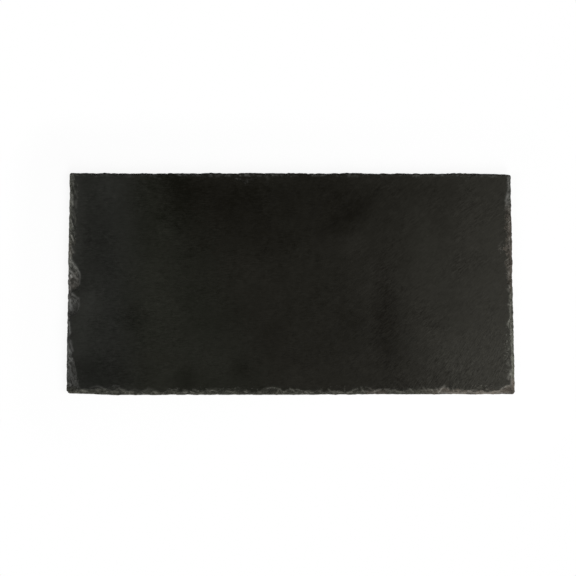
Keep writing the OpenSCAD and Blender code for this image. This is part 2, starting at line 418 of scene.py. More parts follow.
# How pale the stone is along each side, anticlockwise: share of the side, tone inside the flakes, and what
# the crushed arris adds to it
front_pale = [
    (0, 0.20, 0.27), (0.1, 0.14, 0.16), (0.22, 0.14, 0.24), (0.38, 0.12, 0.13), (0.55, 0.14, 0.13),
    (0.62, 0.19, 0.16), (0.7, 0.18, 0.13), (0.8, 0.20, 0.14), (0.84, 0.41, 0.20), (0.95, 0.55, 0.38),
    (0.965, 0.40, 0.2), (1, 0.38, 0.2),
]
right_pale = [
    (0, 0.38, 0.3), (0.06, 0.5, 0.5), (0.1, 0.55, 0.55), (0.25, 0.38, 0.40), (0.4, 0.28, 0.41),
    (0.6, 0.24, 0.36), (0.8, 0.23, 0.30), (0.92, 0.19, 0.26), (1, 0.22, 0.31),
]
# The back's tones are low: painted shade, as that edge faces away from the light.
back_pale_in_shade = [
    (0, 0.03, 0.16), (0.2, 0.03, 0.17), (0.27, 0.02, 0.04), (0.5, 0.02, 0.04), (0.56, 0.03, 0.14),
    (0.68, 0.03, 0.16), (0.74, 0.03, 0.10), (1, 0.03, 0.09),
]
left_pale = [
    (0, 0.34, 0.5), (0.1, 0.32, 0.6), (0.3, 0.32, 0.65), (0.35, 0.46, 0.9), (0.42, 0.52, 0.9),
    (0.45, 0.44, 0.5), (0.5, 0.43, 0.45), (0.55, 0.33, 0.4), (0.63, 0.30, 0.35), (0.68, 0.29, 0.6),
    (0.74, 0.30, 0.55), (0.78, 0.62, 0.25), (0.84, 0.55, 0.2), (0.88, 0.29, 0.2), (1, 0.29, 0.25),
]


def paleness(x, y):
    """Tone inside the flakes and what the arris adds, at points of the plan: read between the chosen places
    of the side that lies nearest."""
    nearest, tone, rise = np.full_like(x, np.inf), np.zeros_like(x), np.zeros_like(x)
    for ((x0, y0), (dx, dy), *_), side, chosen in zip(
            sides, (length, width, length, width), (front_pale, right_pale, back_pale_in_shade, left_pale)):
        along = ((x - x0) * dx + (y - y0) * dy) / side
        inward = (y - y0) * dx - (x - x0) * dy
        shares, tones, rises = np.array(chosen).T
        closer = inward < nearest
        tone = np.where(closer, np.interp(along, shares, tones), tone)
        rise = np.where(closer, np.interp(along, shares, rises), rise)
        nearest = np.minimum(nearest, inward)
    return tone, rise


# Scars: pale where the stone is crushed, and painted highlights where a step catches the light, placed one by
# one: their ends and half width in millimetres, and their strength, less than nothing for painted shade in
# hollows
front_scars = [
    (131.6, -98.0, 132.3, -96.6, 1.0, 0.7), (132.5, -96.6, 133.9, -93.7, 0.75, 0.5),
    (133.9, -93.7, 136.6, -92.0, 0.75, 0.42), (125.1, -95.5, 126.8, -97.4, 0.8, 0.28),
    (128.9, -94.0, 130.0, -95.3, 0.7, 0.24), (130.4, -95.5, 130.6, -97.3, 0.7, 0.24),
    (139.5, -93.8, 140.0, -95.1, 0.7, 0.32), (143.6, -94.0, 144.3, -96.9, 0.6, 0.18),
    (132.1, -97.8, 195.4, -98.2, 0.7, 0.28), (149.1, -96.9, 151.8, -95.5, 0.8, 0.28),
    (157.1, -96.7, 159.8, -96.7, 0.9, 0.44), (160.7, -96.0, 164.7, -95.8, 0.8, 0.28),
    (168.7, -96.5, 170.9, -96.7, 0.7, 0.32), (176.2, -97.1, 179.4, -96.8, 0.7, 0.34),
    (181.1, -96.7, 185.6, -96.5, 0.8, 0.34), (173.6, -95.0, 174.9, -95.0, 0.7, 0.22),
    (93.0, -96.7, 100.1, -97.5, 0.7, 0.2), (105.5, -94.6, 108.6, -97.2, 0.7, 0.24),
    (117.5, -93.3, 119.7, -96.4, 0.8, 0.16), (121.5, -94.2, 123.7, -96.4, 0.7, 0.16),
    (-189.9, -94.8, -187.6, -95.3, 0.7, 0.12), (-187.2, -94.7, -184.5, -95.7, 0.8, 0.2),
    (-184.1, -95.1, -180.6, -96.4, 0.7, 0.19), (-178.0, -93.1, -173.6, -91.8, 0.7, 0.074),
    (-173.6, -91.8, -169.2, -91.8, 0.7, 0.11), (-169.2, -92.1, -164.7, -93.8, 0.7, 0.11),
    (-165.8, -94.0, -164.7, -94.5, 0.7, 0.19), (-164.7, -94.0, -158.5, -96.0, 0.7, 0.12),
    (-159.4, -95.8, -158.1, -96.3, 0.7, 0.19), (-172.7, -94.4, -169.1, -94.3, 0.7, 0.11),
    (-172.2, -95.8, -170.9, -96.0, 0.7, 0.19), (-157.6, -95.8, -152.4, -93.6, 0.7, 0.11),
    (-152.4, -93.6, -147.1, -94.9, 0.7, 0.12), (-147.1, -94.9, -144.4, -96.5, 0.7, 0.12),
    (-155.9, -96.7, -153.2, -96.7, 0.7, 0.17), (-149.7, -95.6, -145.3, -97.0, 0.7, 0.15),
    (-144.4, -96.3, -138.2, -94.3, 0.8, 0.074), (-138.2, -94.3, -132.9, -96.7, 0.8, 0.074),
    (-143.9, -97.1, -140.0, -96.7, 0.7, 0.19), (-130.3, -95.8, -125.9, -93.5, 1.1, 0.074),
    (-125.9, -93.5, -119.7, -96.1, 1.1, 0.074), (-122.3, -96.7, -119.7, -97.0, 0.7, 0.22),
    (-115.2, -96.6, -109.9, -97.5, 0.8, -0.8), (-106.4, -95.9, -103.7, -97.2, 0.7, 0.15),
    (-103.3, -94.6, -100.2, -95.3, 0.7, 0.12), (-95.8, -95.2, -92.3, -95.6, 0.7, 0.12),
    (-95.8, -97.1, -92.7, -97.1, 0.7, 0.28), (-89.2, -96.4, -86.5, -97.7, 0.7, 0.25),
    (-87.0, -94.9, -82.5, -95.9, 0.7, 0.17), (-81.7, -95.3, -80.3, -95.9, 0.7, -0.7),
    (-73.7, -94.6, -65.7, -94.5, 0.7, 0.11), (-57.8, -95.8, -51.6, -97.1, 0.7, 0.2),
    (-40.9, -96.9, -39.2, -97.2, 0.7, 0.25), (-29.4, -96.9, -26.8, -97.2, 0.7, 0.25),
    (-27.6, -96.3, -22.3, -93.4, 0.8, 0.087), (-22.3, -93.4, -17.0, -92.8, 0.8, 0.087),
    (-17.0, -92.8, -10.8, -93.9, 0.8, 0.074), (-9.5, -94.3, -9.0, -96.5, 0.6, 0.17),
    (-8.2, -97.0, -4.6, -96.5, 0.7, 0.19), (-1.1, -94.2, 0.3, -94.8, 0.7, 0.19),
    (1.2, -95.1, 2.5, -96.1, 0.7, 0.2), (5.1, -94.9, 6.9, -95.2, 0.7, 0.12),
    (12.7, -96.8, 14.5, -97.9, 0.7, 0.26), (16.7, -97.5, 19.3, -97.7, 0.7, 0.24),
    (25.1, -96.2, 27.3, -94.8, 0.7, 0.12), (33.1, -94.9, 35.3, -96.6, 0.7, 0.19),
    (36.6, -96.9, 39.7, -96.7, 0.7, 0.22), (40.6, -97.3, 45.9, -97.6, 0.7, 0.22),
    (47.3, -94.4, 47.5, -97.1, 0.6, 0.12), (49.5, -97.5, 53.9, -97.3, 0.7, 0.24),
    (54.8, -95.3, 59.3, -94.5, 0.7, 0.15), (62.0, -93.2, 62.8, -94.9, 0.7, 0.15),
    (63.5, -95.8, 65.0, -96.8, 0.7, 0.31), (65.5, -96.5, 68.2, -96.9, 0.7, 0.2),
    (69.9, -94.5, 74.4, -96.7, 0.9, 0.12), (71.7, -98.0, 76.2, -96.3, 0.8, 0.25),
    (76.2, -96.3, 79.7, -95.4, 0.8, 0.25), (83.3, -95.0, 86.8, -94.8, 0.7, 0.19),
    (85.9, -97.0, 93.0, -95.9, 0.7, 0.12), (-185.0, -95.4, -180.6, -96.3, 0.7, 0.35),
    (-190.3, -95.5, -186.8, -95.3, 0.7, 0.18),
]
right_scars = [
    (197.2, 95.0, 196.9, 89.0, 1.0, 0.27), (196.9, 87.6, 196.8, 84.0, 0.9, 0.19),
    (196.6, 80.3, 195.8, 74.0, 1.5, 0.4), (194.3, 74.9, 194.6, 70.8, 1.2, 0.21),
    (196.5, 72.1, 197.5, 64.9, 1.0, 0.2), (197.5, 59.4, 196.8, 54.4, 0.9, 0.31),
    (194.8, 54.9, 196.6, 56.2, 0.8, 0.28), (196.9, 52.1, 196.6, 46.7, 0.8, 0.27),
    (194.5, 53.0, 194.3, 46.7, 0.6, -0.4), (196.8, 40.8, 196.8, 38.5, 0.7, 0.47),
    (194.7, 39.4, 195.2, 38.5, 0.6, 0.19), (197.0, 37.6, 197.4, 30.4, 0.9, 0.21),
    (193.9, 32.7, 196.2, 34.5, 0.6, 0.2), (193.8, 29.5, 195.9, 31.7, 0.6, 0.13),
    (194.3, 28.1, 194.5, 27.7, 0.6, -0.6), (193.9, 25.0, 195.4, 26.5, 0.6, 0.2),
    (193.7, 22.5, 194.1, 22.3, 0.6, -0.6), (193.8, 20.0, 195.7, 21.8, 0.6, 0.2),
    (194.0, 16.8, 195.9, 18.2, 0.6, 0.2), (194.2, 13.2, 196.1, 15.0, 0.6, 0.2),
    (195.1, 10.5, 196.8, 7.8, 1.1, 0.38), (195.7, 7.8, 196.0, 4.2, 0.9, 0.24),
    (193.5, 10.5, 193.6, 7.8, 0.7, -0.9), (192.9, 4.7, 193.1, 3.8, 0.6, -0.7),
    (193.3, 2.4, 195.5, 0.6, 1.1, -0.5), (195.9, -2.5, 196.8, -4.8, 0.7, 0.47),
    (194.2, -5.7, 195.8, -7.5, 1.0, 0.19), (196.9, -11.0, 197.0, -13.3, 0.8, 0.33),
    (195.9, -16.9, 196.9, -18.2, 0.8, 0.28), (194.9, -19.4, 196.7, -20.2, 0.9, 0.43),
    (196.0, -20.9, 196.7, -31.6, 0.9, 0.24), (193.4, -37.4, 195.8, -33.0, 1.0, 0.27),
    (196.9, -36.1, 196.9, -47.7, 0.8, 0.28), (197.5, -46.8, 197.1, -74.4, 0.7, 0.33),
    (193.7, -57.1, 194.8, -61.1, 1.1, 0.095), (193.5, -69.9, 194.1, -73.5, 1.2, 0.095),
    (194.2, -81.5, 193.2, -85.9, 1.0, 0.34), (195.3, -78.8, 195.2, -82.8, 0.9, 0.38),
    (196.4, -77.9, 196.2, -90.3, 0.9, 0.38), (193.3, -88.6, 193.7, -90.5, 0.9, -0.5),
    (186.1, -96.3, 187.9, -94.6, 0.8, 0.34), (187.9, -94.6, 189.7, -93.2, 0.8, 0.34),
    (189.7, -93.2, 193.3, -92.1, 0.8, 0.34), (193.3, -92.1, 196.0, -91.0, 0.8, 0.34),
    (188.7, -95.2, 189.2, -96.5, 0.6, -0.4), (186.8, 32.6, 188.1, 34.2, 0.55, 0.13),
    (187.1, 30.4, 188.9, 31.7, 0.6, 0.16), (190.2, 28.9, 191.0, 30.2, 0.6, 0.12),
    (189.0, 35.8, 189.9, 36.9, 0.5, 0.1),
]
back_scars = [
    (-159.2, 97.6, -154.7, 95.7, 0.7, -0.8), (-154.7, 95.7, -151.1, 97.3, 0.7, -0.8),
    (-125.0, 97.2, -115.1, 94.5, 0.7, -0.8), (-143.0, 97.3, -137.6, 97.1, 0.6, -0.5),
    (-123.2, 95.7, -117.4, 94.2, 0.7, 0.07), (-148.4, 96.3, -141.2, 96.4, 0.8, 0.05),
    (-175.4, 96.6, -174.5, 96.6, 0.5, 0.08), (-84.6, 96.9, -81.9, 97.0, 0.6, 0.09),
    (-73.8, 96.9, -71.1, 96.9, 0.6, 0.08), (-67.5, 96.9, -64.7, 96.9, 0.6, 0.09),
    (-58.9, 96.9, -55.7, 96.8, 0.6, 0.11), (-45.6, 97.1, -45.2, 96.9, 0.6, 0.22),
    (-40.9, 97.0, -40.0, 96.8, 0.5, 0.11), (-37.7, 97.0, -37.0, 96.6, 0.5, 0.11),
    (-30.5, 96.9, -26.0, 96.8, 0.6, 0.08), (-21.9, 96.7, -21.0, 93.9, 1.2, 0.05),
    (-8.9, 97.3, -8.2, 96.9, 0.6, 0.16), (0.2, 97.0, 6.5, 96.9, 0.6, 0.07),
    (21.8, 97.0, 28.1, 96.9, 0.6, 0.1), (41.2, 97.2, 42.6, 96.9, 0.6, 0.12),
    (51.6, 96.9, 53.0, 96.7, 0.6, 0.13), (55.2, 96.5, 60.7, 96.5, 0.7, 0.06),
    (82.4, 96.9, 87.8, 96.9, 0.6, 0.07), (110.0, 96.9, 111.3, 96.9, 0.6, 0.14),
    (113.4, 96.7, 113.7, 95.4, 0.5, 0.12),
]
left_scars = [
    (-196.5, 98.4, -196.3, 88.8, 1.2, 0.24), (-195.8, 92.9, -195.8, 89.3, 0.6, 0.18),
    (-197.1, 80.2, -196.4, 70.2, 1.1, 0.58), (-193.1, 73.8, -193.0, 68.4, 1.2, 0.14),
    (-197.4, 69.3, -195.4, 59.4, 1.2, 0.17), (-198.2, 57.6, -195.6, 50.8, 0.65, 0.85),
    (-196.6, 51.2, -193.8, 44.0, 1.0, 0.19), (-197.2, 50.3, -196.7, 45.8, 0.6, 0.3),
    (-198.3, 45.8, -194.9, 38.0, 0.65, 0.8), (-197.2, 33.2, -194.7, 27.4, 0.8, 0.42),
    (-197.8, 27.8, -197.2, 18.8, 0.8, 0.96), (-196.6, 21.5, -194.3, 16.6, 1.0, 0.54),
    (-194.3, 16.1, -192.4, 13.0, 1.0, 0.42), (-191.6, 13.5, -189.3, 9.9, 0.8, 0.36),
    (-189.0, 9.4, -188.3, 4.9, 0.7, 0.34), (-188.3, 4.9, -188.7, -0.9, 0.7, 0.14),
    (-197.7, 11.2, -194.8, 8.1, 0.8, 0.5), (-194.6, 7.6, -192.3, 4.9, 1.1, 0.46),
    (-192.3, 5.4, -190.5, 3.2, 0.9, 0.24), (-197.3, 7.2, -196.6, 5.8, 0.9, 1.6),
    (-194.0, 0.9, -191.8, 0.0, 1.2, 0.22), (-196.2, -2.2, -194.0, -2.7, 1.0, 0.18),
    (-197.8, 0.9, -197.7, -0.4, 0.7, 0.36), (-197.7, -3.1, -196.9, -8.0, 0.8, 0.43),
    (-196.7, -8.0, -192.9, -11.6, 0.9, 0.36), (-192.0, -12.5, -189.3, -13.8, 0.9, 0.19),
    (-189.1, -13.8, -188.5, -20.5, 0.7, 0.12), (-190.2, -13.8, -195.0, -18.5, 0.8, 0.19),
    (-197.3, -14.7, -196.9, -23.2, 0.8, 0.6), (-195.9, -19.2, -195.4, -24.1, 1.0, 0.24),
    (-196.3, -51.6, -195.3, -56.0, 1.0, 0.26), (-195.3, -56.0, -193.8, -60.4, 1.0, 0.22),
    (-197.2, -59.6, -195.7, -62.2, 0.9, 0.26), (-196.9, -66.6, -194.7, -68.8, 0.7, 0.24),
    (-196.6, -72.8, -195.6, -78.1, 0.7, 0.24), (-197.2, -89.1, -195.7, -90.4, 0.8, 0.34),
    (-196.3, -52.0, -196.2, -58.7, 0.7, -0.7), (-194.8, -7.1, -188.6, -5.8, 1.7, -1),
    (-197.3, -13.4, -197.3, -16.9, 0.6, -0.5), (-196.7, 1.8, -195.8, 0.0, 0.7, -0.4),
    (-193.2, 4.0, -193.2, 2.7, 0.7, -0.4), (-193.0, -62.7, -190.8, -64.0, 0.9, -0.7),
    (-196.2, -69.7, -196.0, -71.9, 0.5, -0.5), (-194.4, -70.2, -194.3, -74.6, 0.5, -0.5),
    (-195.4, -79.0, -194.9, -86.0, 0.6, 0.12), (-192.9, -71.9, -191.5, -82.5, 0.5, -0.3),
    (-194.0, -83.4, -193.5, -88.7, 0.7, 0.14), (-195.4, 86.5, -191.6, 76.6, 0.8, 0.096),
    (-194.6, 64.8, -192.6, 54.8, 0.7, 0.096), (-193.5, 53.5, -193.2, 51.2, 0.6, 0.14),
    (-194.0, 35.9, -193.5, 26.0, 0.7, 0.072), (-196.3, 58.5, -195.3, 53.0, 0.7, -0.4),
    (-196.2, 83.8, -195.7, 75.7, 0.9, -0.35), (-194.7, 43.1, -196.1, 46.3, 0.6, -0.4),
    (-196.6, 36.8, -195.9, 32.3, 0.7, -0.4), (-195.7, 24.2, -195.2, 19.7, 0.8, -0.35),
    (-196.0, 13.9, -193.7, 10.3, 0.8, -0.3), (-188.1, -92.2, -186.8, -93.1, 0.7, 0.12),
    (-197.3, 26.5, -196.2, 18.4, 0.8, 0.5), (-195.7, 19.3, -192.0, 13.5, 1.3, 0.36),
    (-197.7, -34.7, -196.5, -44.9, 0.7, 0.45), (-197.1, -48.0, -197.2, -51.6, 0.6, -0.8),
    (-196.8, -55.1, -197.1, -58.7, 0.7, -0.8), (-197.0, 26.0, -196.6, 19.3, 0.75, 0.34),
    (-194.6, 18.4, -191.8, 13.5, 0.9, 0.2), (-197.1, -34.7, -196.4, -44.5, 0.8, 0.14),
]
in_millimetres = 1000
least_square = 0.0001


def scar_marks(x, y):
    """Strength of the bright scars, which are crushed stone and painted highlights on steps, and of the
    painted shade in hollows, at points of the plan, each the greatest of its kind: a mark falls off by the
    bell curve of the distance from the line between its two ends."""
    bright, dark = np.zeros_like(x), np.zeros_like(x)
    for x0, y0, x1, y1, half, strength in front_scars + right_scars + back_scars + left_scars:
        a, b, dx, dy = x * in_millimetres - x0, y * in_millimetres - y0, x1 - x0, y1 - y0
        share = np.clip((a * dx + b * dy) / (dx * dx + dy * dy + least_square), 0, 1)
        here = abs(strength) * bell(np.hypot(a - share * dx, b - share * dy), half)
        if strength > 0:
            bright = np.maximum(bright, here)
        else:
            dark = np.maximum(dark, here)
    return bright, dark


# Broken stone is paler than the face: the insides of the flakes with their fans and terraces, a thin line
# along each rim, partly crushed stone and partly painted highlight, and the crushed arris most of all. The
# back edge faces away from the light and is painted in shade: its stone is kept dark, its arris is wider and
# painted darker, and a few painted glints sit where chip rims catch the light.
corner_length = 0.013
corner_width = 0.011
end_strip = 0.011
back_strip = 0.006
back_fade = 0.003
rim_offset = 0.0002
rim_width = 0.00045
rim_fade = 0.002
arris_width = 0.0012
crushed_width = 0.0022
back_crushed_more = 0.0018
arris_shade_width = 0.0013
glint_place = 0.0021
glint_width = 0.0008

from_rim = (place - rim) * margin
to_arris = (1 - place) * margin
at_corner = (np.abs(band_x) > half_length - corner_length) & (np.abs(band_y) > half_width - corner_width)
# The back strip, where the stone is painted in shade as that edge faces away from the light.
at_back = np.clip((band_y - (half_width - back_strip)) / back_fade, 0, 1)
at_back = at_back * (np.abs(band_x) < half_length - back_strip)
facets = lattice_noise(band_x, band_y, 0.0045, 74)
tone, rise = paleness(band_x, band_y)
scar, hollow_shade = scar_marks(band_x, band_y)

filling = tone * np.clip(bowls / whole_depth, 0, 1) * np.clip(0.55 + from_rim / rim_fade, 0, 1)
filling = filling * (1 + 0.45 * facets + 0.3 * fans + 0.5 * riser)
crushing = rise * bell(to_arris, crushed_width + back_crushed_more * at_back)
crushing = crushing * (1 + 0.5 * lattice_noise(band_x, band_y, 0.0035, 76))
# Painted shade along the back arris.
crushing *= 1 - 0.8 * at_back * bell(to_arris, arris_shade_width)
# Painted glints just inside the back arris, where chip rims catch the light.
back_glints = at_back * bell(to_arris - glint_place, glint_width)
back_glints = back_glints * np.clip(lattice_noise(band_x, band_y, 0.0024, 75), 0, 1)
stone_tone = (filling + crushing + 0.5 * back_glints) * (1 - hollow_shade)

# Where only a thin layer has lifted, the tone depends on the end of the slab.
only_lifted = (layers > 0) & (bowls == 0)
lifted_tone = np.where(np.abs(band_x) > half_length - end_strip, np.where(band_x > 0, 0.32, 0.17), 0.11)
lifted_tone = lifted_tone * (1 - at_back) * (1 + 0.5 * facets) * (1 - hollow_shade)
stone_tone = np.where(only_lifted, np.maximum(stone_tone, lifted_tone), stone_tone)

# The rim line is partly crushed stone and partly painted highlight; at the back it is left out as painted
# shade.
rim_strength = np.clip(0.25 + 0.6 * lattice_noise(band_x, band_y, 0.010, 77) + 0.4 * at_corner, 0, 1)
rim_crush_and_highlight_tone = (1 - at_back) * rim_strength * bell(from_rim - rim_offset, rim_width)
rim_crush_and_highlight_tone = rim_crush_and_highlight_tone * np.where(only_lifted, 0.15, 1)
ridge_strength = np.clip(0.1 + rise * 0.5 + 0.9 * lattice_noise(band_x, band_y, 0.007, 73), 0, 1)
rim_crush_and_highlight_tone = np.maximum(rim_crush_and_highlight_tone, (1 - at_back) * ridge_strength * ridges) * (1 - hollow_shade)
arris_tone = (1 - at_back) * rise * 0.8 * bell(to_arris, arris_width)


def over_rings(band_values, *below):
    """Values of the band's rings, then one row of values for each ring below it, and nothing for the rest."""
    values = np.zeros((ring_count, around))
    values[: len(band)] = band_values
    for row, value in enumerate(below):
        values[len(band) + row] = value
    return values


# The wall is kept dark: its own tone and partly painted shade, as it lies below the lit edge.
wall_tone_with_shade = 0.25 * rise[-1] + 0.05
broken = over_rings(stone_tone, *[wall_tone_with_shade] * (len(wall) + 1), 0.25)
rim_crush_and_highlight = over_rings(rim_crush_and_highlight_tone)
arris_line = over_rings(arris_tone, 0.25)
scar_line = over_rings(scar, scar[-1], scar[-1])

# Soft patches where the oil lies thicker or thinner, and broad lighter ones at both ends, strongest at the
# right, that are painted sheen: middle, half sizes, turn in degrees, and tone
oil_and_sheen_patches = [
    (0.200, 0.000, 0.055, 0.110, 0, 0.35),
    (0.180, -0.090, 0.050, 0.040, 0, 0.22),
    (0.050, -0.085, 0.060, 0.020, 0, 0.03),
    (-0.050, 0.075, 0.065, 0.045, 0, -0.13),
    (-0.175, 0.010, 0.030, 0.090, 0, 0.13),
    (-0.150, 0.095, 0.030, 0.020, 0, 0.10),
    (0.095, 0.015, 0.030, 0.040, 0, 0.07),
    (-0.107, 0.091, 0.019, 0.012, -35, -0.12),
    (0.046, 0.078, 0.030, 0.014, -40, -0.05),
    (0.052, 0.060, 0.026, 0.008, 33, -0.10),
    (0.084, -0.026, 0.036, 0.008, 92, -0.12),
    (-0.001, 0.038, 0.009, 0.007, 0, -0.06),
    (-0.172, -0.080, 0.018, 0.010, 0, -0.13),
    (-0.138, -0.030, 0.012, 0.008, 0, -0.10),
    (-0.170, 0.036, 0.010, 0.018, 0, -0.07),
    (-0.092, -0.085, 0.007, 0.009, 0, -0.09),
    (-0.043, -0.079, 0.008, 0.009, 0, -0.08),
    (-0.181, -0.018, 0.010, 0.009, 0, 0.20),
    (-0.193, 0.062, 0.006, 0.042, 0, 0.22),
    (-0.080, -0.060, 0.030, 0.022, 0, 0.05),
    (0.030, -0.045, 0.060, 0.030, 0, -0.05),
    (-0.190, -0.044, 0.009, 0.016, 0, 0.14),
    (-0.145, 0.036, 0.056, 0.012, 105, 0.06),
    (0.058, 0.034, 0.020, 0.006, 50, 0.05),
    (0.142, -0.060, 0.012, 0.012, 30, 0.10),
    (-0.035, 0.097, 0.050, 0.007, 0, 0.07),
    (0.130, 0.097, 0.050, 0.007, 0, 0.06),
    (0.118, 0.010, 0.013, 0.085, 0, 0.07),
    (0.118, -0.047, 0.012, 0.009, 0, 0.06),
    (-0.116, -0.010, 0.013, 0.070, 0, 0.08),
    (-0.116, 0.045, 0.012, 0.010, 0, 0.05),
    (-0.022, -0.045, 0.014, 0.010, 0, -0.05),
    (0.165, 0.016, 0.014, 0.010, 0, -0.05),
    (-0.162, 0.085, 0.012, 0.010, 0, 0.06),
]


def oil_and_painted_light(x, y):
    """Sum of the soft patches: each falls off from its middle as the square of one less a quarter of its
    squared distance, in its own turned and scaled axes."""
    tone = np.zeros_like(x)
    for px, py, half_u, half_v, turn, amount in oil_and_sheen_patches:
        c, s = math.cos(math.radians(turn)), math.sin(math.radians(turn))
        u, v = ((x - px) * c + (y - py) * s) / half_u, ((y - py) * c - (x - px) * s) / half_v
        tone += amount * np.clip(1 - (u * u + v * v) / 4, 0, 1) ** 2
    return tone


# Crumbs that still cling to the face near its edges: middle, half sizes and amount
crumb_patches = [
    (0.1900, 0.0290, 0.0050, 0.0075, 0.85),
    (-0.045, 0.0940, 0.020, 0.0035, 0.7),
    (0.159, 0.0935, 0.0050, 0.0040, 0.7),
    (0.165, -0.0920, 0.030, 0.0030, 0.8),
    (-0.1925, 0.050, 0.0030, 0.045, 0.7),
    (0.1935, 0.030, 0.0028, 0.070, 0.8),
    (0.1925, -0.060, 0.0040, 0.035, 0.9),
    (0.060, -0.0930, 0.070, 0.0025, 0.7),
    (-0.060, -0.0935, 0.090, 0.0025, 0.75),
]
# Parts of the face where the ripples stand out, in the same form
ripple_patches = [
    (0.120, -0.040, 0.012, 0.015, 0.26),
    (0.156, 0.017, 0.013, 0.010, 0.36),
    (0.136, -0.075, 0.018, 0.010, 0.12),
    (-0.175, 0.080, 0.014, 0.012, 0.22),
    (-0.170, -0.040, 0.014, 0.012, 0.10),
]
# Stretches of the broken edge where the stone is stained brown, in the same form
rust_patches = [
    (0.197, 0.031, 0.012, 0.027, 1.0),
    (0.173, -0.098, 0.036, 0.010, 1.0),
    (0.076, -0.098, 0.007, 0.008, 1.0),
    (-0.194, 0.030, 0.008, 0.008, 0.30),
    (-0.194, 0.000, 0.009, 0.010, 0.25),
]


def patch_amount(x, y, patches):
    """The greatest of the patches at points of the face, each falling off from its middle as the square of
    one less a quarter of its squared distance in half sizes."""
    most = np.zeros_like(x)
    for px, py, half_x, half_y, amount in patches:
        far = ((x - px) / half_x) ** 2 + ((y - py) / half_y) ** 2
        most = np.maximum(most, amount * np.clip(1 - far / 4, 0, 1) ** 2)
    return most


def face_grid(count_x, count_y, z):
    """A rectangle of points inside the margin, with their order round its edge."""
    x = np.linspace(-1, 1, count_x + 1) * (half_length - grid_inset)
    y = np.linspace(-1, 1, count_y + 1) * (half_width - grid_inset)
    gx, gy = np.meshgrid(x, y, indexing="ij")
    points = np.stack([gx, gy, np.broadcast_to(z(gx, gy), gx.shape)], 2).reshape(-1, 3)
    index = np.arange(len(points)).reshape(count_x + 1, count_y + 1)
    loop = np.concatenate([index[:-1, 0], index[-1, :-1], index[:0:-1, -1], index[0, :0:-1]])
    quads = np.stack([index[:-1, :-1], index[1:, :-1], index[1:, 1:], index[:-1, 1:]], 2).reshape(-1, 4)
    return points, loop, quads


def stitch(coarse, fine):
    """Triangles between a coarse loop and the fine loop round it: each coarse step fans to its share of the
    fine ones from its first end, then from its second."""
    per = len(fine) // len(coarse)
    half = per // 2
    after = np.roll(coarse, -1)
    fine = np.append(fine, fine[0])
    start = np.arange(len(coarse)) * per
    fans = [np.stack([coarse, fine[start + k], fine[start + k + 1]], 1) for k in range(half)]
    fans.append(np.stack([coarse, fine[start + half], after], 1))
    fans += [np.stack([after, fine[start + k], fine[start + k + 1]], 1) for k in range(half, per)]
    return np.concatenate(fans)


top_points, top_loop, top_quads = face_grid(cells_long, cells_wide, lambda x, y: slab_top - face_wave(x, y))
under_long, under_wide = cells_long // under_cells, cells_wide // under_cells
low_points, low_loop, low_quads = face_grid(under_long, under_wide, lambda x, y: slab_bottom)
ring_index = np.arange(ring_count * around).reshape(ring_count, around)
after = np.roll(ring_index, -1, axis=1)
ring_quads = np.stack([ring_index[:-1], ring_index[1:], after[1:], after[:-1]], 2).reshape(-1, 4)
top_start = ring_count * around
low_start = top_start + len(top_points)
quads = np.concatenate([ring_quads, top_quads + top_start, (low_quads + low_start)[:, ::-1]])
triangles = np.concatenate([
    stitch(top_loop + top_start, ring_index[0]),
    stitch(low_loop + low_start, ring_index[-1])[:, ::-1],
])
points = np.concatenate([rings.reshape(-1, 3), top_points, low_points])


def build_mesh(name, points, quads, triangles):
    """A mesh from arrays of points, four-sided faces and triangles."""
    mesh = bpy.data.meshes.new(name)
    corners = np.concatenate([quads.ravel(), triangles.ravel()]).astype(np.int32)
    totals = np.concatenate([np.full(len(quads), 4), np.full(len(triangles), 3)]).astype(np.int32)
    mesh.vertices.add(len(points))
    mesh.vertices.foreach_set("co", points.astype(np.float32).ravel())
    mesh.loops.add(len(corners))
    mesh.loops.foreach_set("vertex_index", corners)
    mesh.polygons.add(len(totals))
    mesh.polygons.foreach_set("loop_start", np.concatenate([[0], np.cumsum(totals)[:-1]]).astype(np.int32))
    mesh.update(calc_edges=True)
    mesh.validate()
    return mesh


def put_attribute(mesh, name, values):
    """Keeps one number at each point of a mesh for its material."""
    mesh.attributes.new(name, "FLOAT", "POINT").data.foreach_set("value", values.astype(np.float32))


slab_mesh = build_mesh("slate", points, quads, triangles)
band_points = len(band) * around
ring_points = ring_count * around
rest = np.zeros(len(points) - ring_points)
ring_values = {"broken": broken, "rim_crush_and_highlight": rim_crush_and_highlight, "arris_line": arris_line, "scars": scar_line}
for name, values in ring_values.items():
    put_attribute(slab_mesh, name, np.concatenate([values.ravel(), rest]))
# Painted shade on the face tone along the back arris and in the hollows at the back, as that edge faces away
# from the light.
edge_shade_width = 0.0011
edge_shade_tone = 0.16
hollow_shade_tone = 0.2
back_edge_shade = bell(to_arris, edge_shade_width) * at_back * edge_shade_tone
oil = oil_and_painted_light(points[:, 0], points[:, 1])
oil[:band_points] -= (back_edge_shade + hollow_shade_tone * hollow_shade * at_back).ravel()
put_attribute(slab_mesh, "oil_and_painted_light", oil)
for name, patches in {"crumbs": crumb_patches, "ripples": ripple_patches, "rust": rust_patches}.items():
    put_attribute(slab_mesh, name, patch_amount(points[:, 0], points[:, 1], patches))

